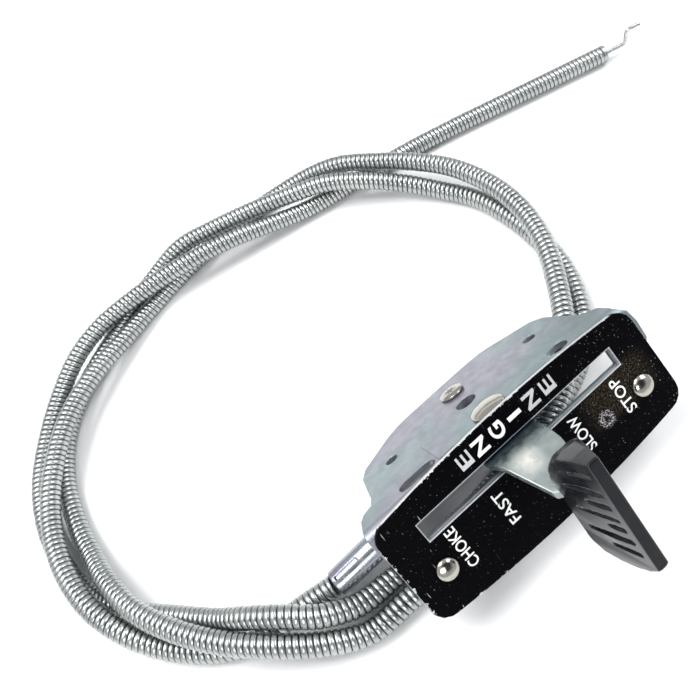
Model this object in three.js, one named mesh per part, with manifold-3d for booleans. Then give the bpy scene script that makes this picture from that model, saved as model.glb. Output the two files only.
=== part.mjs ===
// Throttle and choke control of a garden engine: a stamped bracket that leans on its deep edge,
// a black face plate, a swinging lever with a thumb paddle, and a wound steel conduit that
// lies in a loop on the same surface. Millimetres, +Z up, the face towards -Y.
import * as THREE from 'three';
import { mergeVertices } from 'three/addons/utils/BufferGeometryUtils.js';
import Module from 'manifold-3d';

const wasm = await Module();
wasm.setup();

// ---------------------------------------------------------------- driving dimensions
const GAP = 0.3;
const LEAN = Math.PI / 4;
const SHEET = 1.6;

const FACE_LENGTH = 83.6;
const FACE_WIDTH_ENDS = 30;
const FACE_WIDTH_MIDDLE = 33.8;
const FACE_CORNER = 5;
const FACE_THICKNESS = 1.2;

const SLOT_LEFT = -31.3;
const SLOT_RIGHT = 32.5;
const SLOT_NEAR = 3.6;
const SLOT_FAR = 8.8;

const RIVET_SPACING = 66.4;
const RIVET_MIDDLE = 0.8;
const RIVET_Y = -4.6;
const RIVET_HEAD = 6.2;
const RIVET_SHANK = 3.2;

const BRACKET_MIDDLE = 1.6;
const SIDE_Y = 14.8;
const SIDE_DEPTH = 45.6;
const BEND_RADIUS = 3;

const PIVOT_X = 1.6;
const PIVOT_Z = -32;
const PIVOT_HEAD = 7.5;
const PIVOT_SHANK = 4;
const PIVOT_EYE = 4.2;

const LEVER_NEAR = 6.6;
const LEVER_FAR = 8.2;
const LEVER_REST = -4.4;
const LEVER_SECTOR_RADIUS = 28.4;
const LEVER_SECTOR_ANGLE = 31;
const LEVER_NECK = 17.5;
const LEVER_BEND_START = 34.5;
const LEVER_BEND_ANGLE = 33;
const LEVER_BEND_RADIUS = 8;

const WIRE = 1.6;
const WIRE_ARM = 11.4;
const FERRULE_OUTER = 7.8;
const FERRULE_BORE = 2.2;
const FERRULE_LENGTH = 26;
const CONDUIT = 6.35;
const CONDUIT_SIDES = 10;
const STEP_LENGTH = 18;
const TAIL_SLEEVE = 17;
const TAIL_EXPOSED = 8.2;

const FACE_HEIGHT = (SIDE_DEPTH - (SIDE_Y - SHEET)) * Math.SQRT1_2;
const ORIGIN_X = -0.5;
const ORIGIN_Y = -3.08;

// Centre line of the conduit on the surface: x, y and height, from the ferrule to the tail.
const ROUTE = [
  [-57, 17.6, 5.8], [-66, 19.4, 4.6], [-75, 20.8, 3.6], [-85, 23, 3.3], [-94.5, 28.8, 3.3],
  [-103.5, 37.5, 4.4], [-110, 47.5, 7.8], [-114.5, 60, 10], [-116, 76, 10.2], [-113.5, 91, 9.9],
  [-106.5, 106, 9.9], [-93, 122, 9.6], [-78.5, 131.3, 8.2], [-64.5, 137.8, 5.4],
  [-50, 143.6, 3.4], [-35, 147, 3.3], [-18, 149, 3.3], [0, 149.8, 3.3], [15, 148, 3.6],
  [27, 142.7, 6.2], [37, 133.4, 9.9], [46, 122.8, 10.2], [54.5, 111, 10], [61, 97, 10],
  [63.5, 80, 10], [61.5, 64.5, 10], [56, 50.5, 10], [47.5, 37.5, 10], [38, 26, 10],
  [26, 15, 9.9], [12, 8.5, 9.7], [-3, 3.8, 7.6], [-17, 1.4, 4.6], [-30, 1.4, 3.3],
  [-44, 2.2, 3.3], [-57, 2.8, 3.6], [-68, 7.8, 7.2], [-78.5, 15.8, 10], [-88.5, 25.4, 10.1],
  [-97, 36.5, 10.4], [-104, 50, 10.4], [-107.5, 64, 8.2], [-109, 77, 4.6], [-109, 90, 3.3],
  [-105.5, 107, 3.3], [-97, 122.5, 3.3], [-84, 134.2, 3.3], [-68, 143.6, 3.3], [-52, 151, 3.6],
  [-39, 153.8, 5.6], [-26, 152.3, 9.9], [-13, 148.6, 10.3], [2, 143.5, 10], [16, 137, 10],
  [28, 130, 10.3], [38, 120.3, 9], [47, 110, 6.4], [54.5, 98.5, 3.8], [60, 85, 3.3],
  [61, 72, 3.3], [60, 58, 3.3], [57, 45, 3.3], [51, 33.5, 3.3], [42, 22.8, 3.3], [30, 16, 3.3],
  [15, 12, 3.3], [0, 9.8, 3.3], [-16, 8.3, 3.3], [-32, 8.3, 3.3], [-44, 9, 3.7],
  [-55, 9.35, 5.9], [-64, 12.6, 9.9], [-71.5, 18.6, 11.8], [-79.5, 25.6, 10.2], [-87.5, 33, 5.9],
  [-97, 43, 3.4], [-107, 53.5, 3.3], [-114.5, 65, 3.3], [-118, 78, 3.3], [-118, 95, 3.3],
  [-113.5, 111.5, 3.3], [-104, 126.5, 3.3], [-92.5, 137.4, 4.8], [-79.5, 143.4, 8.3],
  [-66, 146.2, 10], [-52, 146.7, 10], [-38, 145.5, 10], [-24, 142.8, 9.9], [-10, 139.2, 9],
  [4, 135.6, 6.2], [17, 132.4, 3.8], [30, 129.4, 3.3], [45, 126.3, 3.3], [60, 123, 3.3],
  [78, 117.6, 3.3], [96, 111.5, 3.3], [116, 104.7, 3.3], [136, 97.9, 3.3],
];

// ---------------------------------------------------------------- shaping helpers
function shapeOf(points, holes = []) {
  const shape = new THREE.Shape(points.map(([x, y]) => new THREE.Vector2(x, y)));
  for (const hole of holes) {
    shape.holes.push(new THREE.Path(hole.map(([x, y]) => new THREE.Vector2(x, y))));
  }
  return shape;
}

function circle(x, y, radius, sides = 20) {
  const points = [];
  for (let i = 0; i < sides; i += 1) {
    const angle = (i / sides) * 2 * Math.PI;
    points.push([x + radius * Math.cos(angle), y + radius * Math.sin(angle)]);
  }
  return points;
}

function obround(x0, y0, x1, y1, radius, sides = 8) {
  const heading = Math.atan2(y1 - y0, x1 - x0);
  const points = [];
  for (let i = 0; i <= sides; i += 1) {
    const angle = heading - Math.PI / 2 + (i / sides) * Math.PI;
    points.push([x1 + radius * Math.cos(angle), y1 + radius * Math.sin(angle)]);
  }
  for (let i = 0; i <= sides; i += 1) {
    const angle = heading + Math.PI / 2 + (i / sides) * Math.PI;
    points.push([x0 + radius * Math.cos(angle), y0 + radius * Math.sin(angle)]);
  }
  return points;
}

function rectangle(x0, y0, x1, y1) {
  return [[x0, y0], [x1, y0], [x1, y1], [x0, y1]];
}

function alongZ(points, z0, z1, holes) {
  const geometry = new THREE.ExtrudeGeometry(shapeOf(points, holes), {
    depth: z1 - z0,
    bevelEnabled: false,
  });
  return geometry.translate(0, 0, z0);
}

// An outline in x and z, drawn out along y.
function alongY(points, y0, y1, holes) {
  return alongZ(points, -y1, -y0, holes).rotateX(Math.PI / 2);
}

// An outline in y and z, drawn out along x.
function alongX(points, x0, x1) {
  const turn = new THREE.Matrix4().set(0, 0, 1, 0, 1, 0, 0, 0, 0, 1, 0, 0, 0, 0, 0, 1);
  return alongZ(points, x0, x1).applyMatrix4(turn);
}

function turned(profile, sides = 24) {
  return new THREE.LatheGeometry(profile.map(([r, y]) => new THREE.Vector2(r, y)), sides);
}

function joinable(geometry) {
  const bare = geometry.clone();
  bare.deleteAttribute('normal');
  bare.deleteAttribute('uv');
  const merged = mergeVertices(bare, 1e-4);
  return new wasm.Manifold(new wasm.Mesh({
    numProp: 3,
    vertProperties: new Float32Array(merged.attributes.position.array),
    triVerts: new Uint32Array(merged.index.array),
  }));
}

function geometryOf(manifold) {
  const mesh = manifold.getMesh();
  const geometry = new THREE.BufferGeometry();
  geometry.setAttribute('position', new THREE.BufferAttribute(mesh.vertProperties, 3));
  geometry.setIndex(new THREE.BufferAttribute(mesh.triVerts, 1));
  geometry.computeVertexNormals();
  return geometry;
}

function piece(parent, name, geometry, look) {
  const material = new THREE.MeshStandardMaterial({
    color: look.color,
    roughness: look.roughness,
    metalness: look.metalness,
  });
  const mesh = new THREE.Mesh(geometry, material);
  mesh.name = name;
  parent.add(mesh);
  return mesh;
}

const ZINC = { color: 0xaab4bd, roughness: 0.38, metalness: 0.9 };
const BLACK_PAINT = { color: 0x111113, roughness: 0.45, metalness: 0.1 };
const NICKEL = { color: 0xc9c4b8, roughness: 0.2, metalness: 1 };
const BLACK_PLASTIC = { color: 0x141517, roughness: 0.25, metalness: 0 };
const SPRING_STEEL = { color: 0x8d9297, roughness: 0.3, metalness: 1 };
const WIRE_STEEL = { color: 0x8f9296, roughness: 0.35, metalness: 1 };

// ---------------------------------------------------------------- the control head
// x along the slot, y from the operator's edge to the side plate, z out of the face.
const head = new THREE.Group();
head.name = 'head';
head.rotation.x = LEAN;
head.position.z = FACE_HEIGHT;

// A plate outline with straight ends, bowed long edges and round corners.
function bowedOutline(length, ends, middle, corner) {
  const reach = length / 2 - corner;
  const spans = 10;
  const cornerSpans = 4;
  const points = [];
  for (const side of [-1, 1]) {
    for (let i = 0; i <= spans; i += 1) {
      const x = side * reach * (1 - (2 * i) / spans);
      const y = ends / 2 + ((middle - ends) / 2) * (1 - (x / reach) ** 2);
      points.push([x, side * y]);
    }
    for (let i = 1; i < 2 * cornerSpans; i += 1) {
      const quarter = i / cornerSpans;
      const angle = ((side + quarter) * Math.PI) / 2;
      const centreY = side * (quarter <= 1 ? 1 : -1) * (ends / 2 - corner);
      points.push([-side * reach + corner * Math.cos(angle), centreY + corner * Math.sin(angle)]);
      if (i === cornerSpans) {
        points.push([-side * (reach + corner), -centreY]);
      }
    }
  }
  return points;
}

const slotOutline = rectangle(SLOT_LEFT, SLOT_NEAR, SLOT_RIGHT, SLOT_FAR);
const rivetPlaces = [RIVET_MIDDLE - RIVET_SPACING / 2, RIVET_MIDDLE + RIVET_SPACING / 2];
const rivetHoles = rivetPlaces.map((x) => circle(x, RIVET_Y, RIVET_SHANK / 2 + GAP, 16));

piece(
  head,
  'face_plate',
  alongZ(
    bowedOutline(FACE_LENGTH, FACE_WIDTH_ENDS, FACE_WIDTH_MIDDLE, FACE_CORNER),
    -FACE_THICKNESS,
    0,
    [slotOutline, ...rivetHoles],
  ),
  BLACK_PAINT,
);

rivetPlaces.forEach((x, i) => {
  const shank = RIVET_SHANK / 2;
  const headRadius = RIVET_HEAD / 2;
  const under = -FACE_THICKNESS - GAP - SHEET - GAP;
  const profile = [
    [0, under - 1.2], [2.1, under - 1.2], [2.4, under - 0.8], [2.4, under], [shank, under],
    [shank, GAP], [headRadius, GAP], [headRadius - 0.3, GAP + 0.6],
    [headRadius - 1.1, GAP + 1.15], [0, GAP + 1.45],
  ];
  const rivet = turned(profile).rotateX(Math.PI / 2).translate(x, RIVET_Y, 0);
  piece(head, i === 0 ? 'face_rivet_choke_end' : 'face_rivet_stop_end', rivet, NICKEL);
});

// ---------------------------------------------------------------- bracket
const flangeTop = -FACE_THICKNESS - GAP;
const sideInner = SIDE_Y - SHEET;
const wireStart = [-57, 0.35, -24.5];
const wireHook = [PIVOT_X - WIRE_ARM * Math.tan(THREE.MathUtils.degToRad(-LEVER_REST)), 3.4, -20.6];

function onWireLine(x) {
  const share = (x - wireStart[0]) / (wireHook[0] - wireStart[0]);
  return wireStart.map((from, i) => from + (wireHook[i] - from) * share);
}

function angleSection() {
  const centreY = SIDE_Y - BEND_RADIUS;
  const centreZ = flangeTop - BEND_RADIUS;
  const spans = 5;
  const arc = (radius, from, to) => {
    const points = [];
    for (let i = 0; i <= spans; i += 1) {
      const angle = from + ((to - from) * i) / spans;
      points.push([centreY + radius * Math.cos(angle), centreZ + radius * Math.sin(angle)]);
    }
    return points;
  };
  return [
    [-20, flangeTop - SHEET], ...arc(BEND_RADIUS - SHEET, Math.PI / 2, 0),
    [sideInner, -SIDE_DEPTH - 2], [SIDE_Y, -SIDE_DEPTH - 2],
    ...arc(BEND_RADIUS, 0, Math.PI / 2), [-20, flangeTop],
  ];
}

const flangeOutline = [
  [-37, -15.5], [-18, -16.7], [0.4, -17.1], [18, -16.7], [38, -15.4], [40.6, -14.4], [41.7, -12],
  [41.8, -1], [42.2, 2], [43.3, 3.4], [43.6, 8.5], [42.9, 12.2], [40.8, 14.4], [40.8, 20],
  [-42.6, 20], [-42.4, 9], [-41.9, 6], [-41.9, -12], [-40.6, -14.6],
];
const sideOutline = [
  [-42.6, 4], [-42.6, -1], [-42, -4], [-40.7, -9.6], [-39.1, -11.8], [-36.2, -13.2],
  [-35, -17], [-33.2, -31], [-30.8, -35.4], [-19.4, -43], [-15.5, -44.8], [-10.4, -SIDE_DEPTH],
  [13.6, -SIDE_DEPTH], [18.7, -44.8], [22.3, -43], [33.8, -35.4], [36, -31], [37.6, -17],
  [37.8, -13.4], [38.8, -12.2], [40.6, -9.4], [42, -5], [43.6, -3], [43.6, 4],
];
const fanOutline = [
  [-5.5, -39], [8.7, -39], [12, -33], [19.4, -19.5], [19.6, -4.8], [-16.6, -4.8],
  [-16.4, -19.5], [-8.8, -33],
];
const FAN_HEIGHT = 0.6;
const GUIDE_X = 1;
const GUIDE_Z = -6.6;
const GUIDE_SHANK = 5;
const sideHoles = [
  circle(27, -25.7, 1.95, 16),
  circle(-23.8, -27.3, 1.95, 16),
  circle(0.7, -20.7, 3.1),
  circle(PIVOT_X, PIVOT_Z, PIVOT_SHANK / 2 + GAP, 16),
  circle(GUIDE_X, GUIDE_Z, GUIDE_SHANK / 2 + GAP),
  obround(-26.2, -7.6, -19.8, -7.6, 2.5),
  obround(24.3, -7.6, 25.5, -7.6, 2.5),
];
const TAB_X = -33;
const tabAxis = onWireLine(TAB_X + SHEET / 2);
const tabOutline = [
  [sideInner + 0.4, -16.5], [-1, -16.5], [-4, -19.5], [-4, -25.5], [-1.5, -28.8],
  [sideInner + 0.4, -28.8],
];
const tabHole = alongX(circle(tabAxis[1], tabAxis[2], FERRULE_OUTER / 2 + GAP), TAB_X - 1, TAB_X + 3);

const folded = joinable(alongX(angleSection(), -50, 50))
  .intersect(joinable(alongZ(flangeOutline, -60, 5)))
  .intersect(joinable(alongY(sideOutline, -25, 25)))
  .add(joinable(alongY(fanOutline, SIDE_Y - 0.5, SIDE_Y + FAN_HEIGHT)))
  .add(joinable(alongX(tabOutline, TAB_X, TAB_X + SHEET)))
  .subtract(joinable(tabHole));
const slotCut = joinable(alongZ(slotOutline, -8, 2));
const bracketCuts = rivetHoles.map((hole) => joinable(alongZ(hole, -8, 2)))
  .concat(sideHoles.map((hole) => joinable(alongY(hole, 10, 18))))
  .concat([slotCut]);
piece(
  head,
  'control_bracket',
  geometryOf(bracketCuts.reduce((body, cut) => body.subtract(cut), folded)),
  ZINC,
);

// ---------------------------------------------------------------- pivot and friction parts
const plateFront = SIDE_Y + FAN_HEIGHT + GAP;
const pivotShank = PIVOT_SHANK / 2;
piece(
  head,
  'pivot_rivet',
  turned([
    [0, 4.6], [2.2, 4.6], [2.8, 5], [2.8, 5.4], [pivotShank, 5.4], [pivotShank, plateFront],
    [PIVOT_HEAD / 2, plateFront], [PIVOT_HEAD / 2, plateFront + 0.5],
    [PIVOT_HEAD / 2 - 1, plateFront + 0.95], [0, plateFront + 1.1],
  ]).translate(PIVOT_X, 0, PIVOT_Z),
  NICKEL,
);

function ring(inner, outer, y0, y1) {
  const bevel = 0.15;
  return turned([
    [inner, y0], [outer - bevel, y0], [outer, y0 + bevel], [outer, y1 - bevel],
    [outer - bevel, y1], [inner, y1], [inner, y0],
  ]);
}

const ringBore = pivotShank + GAP;
const washers = [
  ['pivot_retaining_washer', 3.4, LEVER_NEAR - GAP - 0.6, LEVER_NEAR - GAP, ZINC],
  ['pivot_spring_washer', 4.1, LEVER_FAR + GAP, LEVER_FAR + GAP + 0.5, SPRING_STEEL],
  ['pivot_spacer', 3.6, LEVER_FAR + 2 * GAP + 0.5, sideInner - GAP, ZINC],
];
for (const [name, outer, y0, y1, look] of washers) {
  piece(head, name, ring(ringBore, outer, y0, y1).translate(PIVOT_X, 0, PIVOT_Z), look);
}

const guideShank = GUIDE_SHANK / 2;
piece(
  head,
  'guide_rivet',
  turned([
    [0, 10.6], [3, 10.6], [3.4, 11], [3.4, 12], [guideShank, 12], [guideShank, plateFront],
    [5, plateFront], [4.8, plateFront + 0.5], [3.8, plateFront + 1], [2, plateFront + 1.35],
    [0, plateFront + 1.45],
  ]).translate(GUIDE_X, 0, GUIDE_Z),
  NICKEL,
);

// A bowed leaf under the guide rivet that presses on the lever.
const leafSection = [
  [sideInner - GAP - 0.6, -3.6], [sideInner - GAP, -3.6], [sideInner - GAP, -11.6],
  [9.2, -16.2], [9.7, -17.8], [9.2, -18], [8.5, -16.3], [8.5, -16], [sideInner - GAP - 0.6, -11.2],
];
const leafHole = alongY(circle(GUIDE_X, GUIDE_Z, guideShank + GAP), 7, 14);
piece(
  head,
  'friction_spring',
  geometryOf(joinable(alongX(leafSection, GUIDE_X - 4.2, GUIDE_X + 4.2)).subtract(joinable(leafHole))),
  SPRING_STEEL,
);

// ---------------------------------------------------------------- lever
// A point of the lever given across and along it from the pivot, with the lever at rest.
function leverPoint(across, along) {
  const angle = THREE.MathUtils.degToRad(LEVER_REST);
  return [
    PIVOT_X + across * Math.cos(angle) + along * Math.sin(angle),
    PIVOT_Z - across * Math.sin(angle) + along * Math.cos(angle),
  ];
}

function leverArc(radius, from, to, spans) {
  const points = [];
  for (let i = 0; i <= spans; i += 1) {
    const angle = THREE.MathUtils.degToRad(from + ((to - from) * i) / spans);
    points.push(leverPoint(radius * Math.sin(angle), radius * Math.cos(angle)));
  }
  return points;
}

function leverOutline(grow) {
  const neckAngle = THREE.MathUtils.radToDeg(Math.asin(LEVER_NECK / 2 / LEVER_SECTOR_RADIUS));
  const left = -9.4 - grow;
  const right = 6.4 + grow;
  return [
    ...leverArc(PIVOT_EYE, 100, 260, 8),
    ...leverArc(LEVER_SECTOR_RADIUS, -LEVER_SECTOR_ANGLE, -neckAngle, 4),
    [left, 1], [-4.9 - grow, 16.8], [-3.2 - grow, 17.6], [-3.2 - grow, 22 + grow],
    [3 + grow, 22 + grow], [3 + grow, 17.6], [4.2 + grow, 16.8], [right, 9.5], [right, 1],
    ...leverArc(LEVER_SECTOR_RADIUS, neckAngle, LEVER_SECTOR_ANGLE, 4),
  ];
}

// The lever's section in y and z: upright through the slot, then leaning out over the face.
function leverSection(grow) {
  const spans = 5;
  const bendZ = PIVOT_Z + LEVER_BEND_START;
  const centreY = LEVER_NEAR - LEVER_BEND_RADIUS;
  const lean = THREE.MathUtils.degToRad(LEVER_BEND_ANGLE);
  const face = (radius) => {
    const points = [];
    for (let i = 0; i <= spans; i += 1) {
      const angle = (lean * i) / spans;
      points.push([centreY + radius * Math.cos(angle), bendZ + radius * Math.sin(angle)]);
    }
    const [y, z] = points[spans];
    points.push([y - 30 * Math.sin(lean), z + 30 * Math.cos(lean)]);
    return points;
  };
  const inner = face(LEVER_BEND_RADIUS - grow);
  const outer = face(LEVER_BEND_RADIUS + LEVER_FAR - LEVER_NEAR + grow);
  return [
    [LEVER_FAR + grow, -60], ...outer, ...inner.reverse(), [LEVER_NEAR - grow, -60],
  ];
}

function leverBody(grow) {
  return joinable(alongX(leverSection(grow), -40, 40))
    .intersect(joinable(alongY(leverOutline(grow), -40, 40)));
}

const hookSlot = [leverPoint(0, 11.7), leverPoint(0, 13.9)];
const hookCut = alongY(obround(...hookSlot[0], ...hookSlot[1], 1.35), 0, 12);
const eyeCut = alongY(circle(PIVOT_X, PIVOT_Z, ringBore, 20), 0, 12);
piece(
  head,
  'control_lever',
  geometryOf(leverBody(0).subtract(joinable(hookCut)).subtract(joinable(eyeCut))),
  ZINC,
);

// ---------------------------------------------------------------- thumb paddle
const paddleOutline = [
  [12.5, 37.5], [12.4, 32], [11.8, 25.5], [10.2, 21], [7.4, 18.3], [3.6, 16.9], [-2.2, 16.1],
  [-7, 15.2], [-12, 15.2], [-15.5, 17], [-17.6, 20.2], [-18, 24], [-17.2, 30], [-15.6, 35.6],
  [-14.2, 37.5],
];
function wedge(inset) {
  return [
    [-3.9 + inset, 14], [-4.9 + inset, 17.5], [-4.4 + inset, 21.5], [-3.6 + inset, 29],
    [-2.9 + inset, 40], [-0.6 - inset, 40], [1.9 - inset, 29], [4 - inset, 21.5],
    [4.5 - inset, 17.5], [3.7 - inset, 14],
  ];
}
// Each finger groove by its outer end, its length and its width.
const GROOVES = [
  [8.6, 7, 1], [4.3, 12.7, 1.2], [0.9, 7.8, 1.1], [-2.3, 14, 0.8], [-4.8, 5.1, 1.2],
  [-8, 15, 1.4], [-11.3, 9, 1.2],
];
const GROOVE_TOP = 34.8;
const GROOVE_LEAN = 0.07;
const GROOVE_DEPTH = 0.6;
// The paddle stands a few degrees askew of the slot, about its toe.
const ASKEW = 0.055;
const TOE = -14;
const paddleTurn = [1, 0, 0, 0, ASKEW, 1, 0, 0, 0, 0, 1, 0, -ASKEW * TOE, 0, 0, 1];
const paddle = joinable(alongX(paddleOutline, -12, 12));
const core = paddle.intersect(joinable(alongY(wedge(GROOVE_DEPTH), -30, 30)));
let gripped = paddle.intersect(joinable(alongY(wedge(0), -30, 30)));
for (const [y, long, wide] of GROOVES) {
  const lowY = y - long * Math.sin(GROOVE_LEAN);
  const lowZ = GROOVE_TOP - long * Math.cos(GROOVE_LEAN);
  const groove = obround(lowY, lowZ, y, GROOVE_TOP, wide / 2, 4);
  gripped = gripped.subtract(joinable(alongX(groove, -12, 12)));
}
piece(
  head,
  'lever_thumb_paddle',
  geometryOf(core.add(gripped).transform(paddleTurn).subtract(leverBody(GAP))),
  BLACK_PLASTIC,
);

// ---------------------------------------------------------------- rods, tubes and the conduit
class StraightRuns extends THREE.Curve {
  constructor(points) {
    super();
    this.points = points.map(([x, y, z]) => new THREE.Vector3(x, y, z));
  }

  getPoint(t, target = new THREE.Vector3()) {
    const last = this.points.length - 1;
    const place = Math.min(Math.max(t, 0), 1) * last;
    const index = Math.min(Math.floor(place), last - 1);
    return target.lerpVectors(this.points[index], this.points[index + 1], place - index);
  }

  getUtoTmapping(u) {
    return u;
  }
}

// A length of a longer curve, measured along it.
class Stretch extends THREE.Curve {
  constructor(whole, from, to) {
    super();
    this.whole = whole;
    this.from = from / whole.getLength();
    this.to = to / whole.getLength();
  }

  getPoint(t, target = new THREE.Vector3()) {
    const share = this.from + (this.to - this.from) * t;
    return this.whole.getPointAt(Math.min(Math.max(share, 0), 1), target);
  }

  getUtoTmapping(u) {
    return u;
  }
}

function sweep(path, steps, radius, sides) {
  return new THREE.ExtrudeGeometry(shapeOf(circle(0, 0, radius, sides)), {
    steps,
    bevelEnabled: false,
    extrudePath: path,
  });
}

function rod(points, radius, sides) {
  return sweep(new StraightRuns(points), points.length - 1, radius, sides);
}

// A turned piece laid from one point towards another.
function turnedBetween(profile, from, to) {
  const start = new THREE.Vector3(...from);
  const direction = new THREE.Vector3(...to).sub(start).normalize();
  const turn = new THREE.Quaternion().setFromUnitVectors(new THREE.Vector3(0, 1, 0), direction);
  return turned(profile).applyQuaternion(turn).translate(start.x, start.y, start.z);
}

const ferruleRadius = FERRULE_OUTER / 2;
const ferruleBore = FERRULE_BORE / 2;
piece(
  head,
  'cable_ferrule',
  turnedBetween([
    [ferruleBore, 0], [ferruleRadius - 0.4, 0], [ferruleRadius, 0.5], [ferruleRadius, 6],
    [ferruleRadius - 0.5, 7], [ferruleRadius - 0.5, 8.6], [ferruleRadius, 9.6],
    [ferruleRadius, FERRULE_LENGTH - 0.5], [ferruleRadius - 0.4, FERRULE_LENGTH],
    [ferruleBore, FERRULE_LENGTH], [ferruleBore, 0],
  ], onWireLine(wireStart[0] + 0.6), wireHook),
  ZINC,
);

const hookBend = onWireLine(wireHook[0] - 2);
piece(
  head,
  'control_wire',
  rod([
    onWireLine(-41), onWireLine(-20), hookBend,
    [wireHook[0] - 0.6, wireHook[1] + 0.5, wireHook[2]],
    [wireHook[0], wireHook[1] + 1.8, wireHook[2]],
    [wireHook[0], LEVER_FAR + 1.2, wireHook[2]],
  ], WIRE / 2, 8),
  WIRE_STEEL,
);

const assembly = new THREE.Group();
assembly.name = 'throttle_control';
assembly.position.set(ORIGIN_X, ORIGIN_Y, 0);
assembly.add(head);

const route = new THREE.CatmullRomCurve3(ROUTE.map(([x, y, z]) => new THREE.Vector3(x, y, z)));
route.arcLengthDivisions = 3000;
const routeLength = route.getLength();
const turnEnds = [30, 66].map((index) => routeLength * arcShare(index));

// The share of the route's length at one of its points.
function arcShare(index) {
  const lengths = route.getLengths();
  const place = (index / (ROUTE.length - 1)) * (lengths.length - 1);
  return lengths[Math.round(place)] / routeLength;
}

const stretches = [
  ['conduit_turn_1', GAP, turnEnds[0]],
  ['conduit_turn_2', turnEnds[0] + GAP, turnEnds[1]],
  ['conduit_turn_3', turnEnds[1] + GAP, routeLength - TAIL_SLEEVE - GAP],
];
for (const [name, from, to] of stretches) {
  const steps = Math.round((to - from) / STEP_LENGTH);
  const tube = sweep(new Stretch(route, from, to), steps, CONDUIT / 2, CONDUIT_SIDES);
  piece(assembly, name, tube, ZINC);
}

const tailEnd = ROUTE[ROUTE.length - 1];
const tailDirection = route.getTangentAt(1);
function onTail(distance, rise = 0) {
  return [
    tailEnd[0] + tailDirection.x * distance,
    tailEnd[1] + tailDirection.y * distance,
    tailEnd[2] + rise,
  ];
}

piece(
  assembly,
  'conduit_tail_end',
  turnedBetween([
    [ferruleBore, 0], [CONDUIT / 2, 0], [CONDUIT / 2, TAIL_SLEEVE], [ferruleBore, TAIL_SLEEVE],
    [ferruleBore, 0],
  ], onTail(-TAIL_SLEEVE), onTail(0)),
  ZINC,
);

piece(
  assembly,
  'inner_wire_end',
  rod([
    onTail(-8.5), onTail(TAIL_EXPOSED - 1.2), onTail(TAIL_EXPOSED - 0.2, 0.4),
    onTail(TAIL_EXPOSED + 0.2, 1.4), onTail(TAIL_EXPOSED + 0.2, 4.2),
    onTail(TAIL_EXPOSED + 0.7, 5.2), onTail(TAIL_EXPOSED + 1.7, 5.6),
    onTail(TAIL_EXPOSED + 5.4, 5.6),
  ], WIRE / 2, 8),
  WIRE_STEEL,
);

export default assembly;
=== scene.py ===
# Throttle and choke control of a garden engine: painted face plate, zinc-plated bracket, lever
# with a moulded thumb paddle, and a close-wound steel conduit that lies in loops on the table.
import math

import bmesh
import bpy
import numpy as np
from mathutils import Matrix, Vector


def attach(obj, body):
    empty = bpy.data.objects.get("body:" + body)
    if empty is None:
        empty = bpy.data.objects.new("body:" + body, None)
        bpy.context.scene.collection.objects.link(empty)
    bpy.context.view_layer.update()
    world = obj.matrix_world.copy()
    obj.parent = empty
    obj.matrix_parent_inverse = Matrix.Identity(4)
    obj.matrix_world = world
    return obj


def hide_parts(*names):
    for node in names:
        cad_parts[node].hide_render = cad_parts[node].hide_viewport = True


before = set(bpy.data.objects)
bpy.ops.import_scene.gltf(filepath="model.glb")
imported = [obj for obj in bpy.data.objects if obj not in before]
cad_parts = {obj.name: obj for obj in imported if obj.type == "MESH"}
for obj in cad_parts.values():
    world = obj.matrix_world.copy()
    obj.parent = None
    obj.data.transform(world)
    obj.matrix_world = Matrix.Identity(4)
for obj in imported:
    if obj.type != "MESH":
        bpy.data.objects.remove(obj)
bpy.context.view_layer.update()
MM = 0.001

# ---------------------------------------------------------------- where things are
# The head's own frame, in mm: x along the slot, y towards the side plate, z out of the face.
HEAD_AT = Vector((-0.5, -3.08, 22.911))
HEAD_LEAN = 45
HEAD = (
    Matrix.Translation(HEAD_AT * MM)
    @ Matrix.Rotation(math.radians(HEAD_LEAN), 4, "X")
    @ Matrix.Scale(MM, 4)
)
# The line of the inner wire from the ferrule's mouth to the lever.
WIRE_FROM = Vector((-57, 0.35, -24.5))
WIRE_TO = Vector((0.723, 3.4, -20.6))

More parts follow.
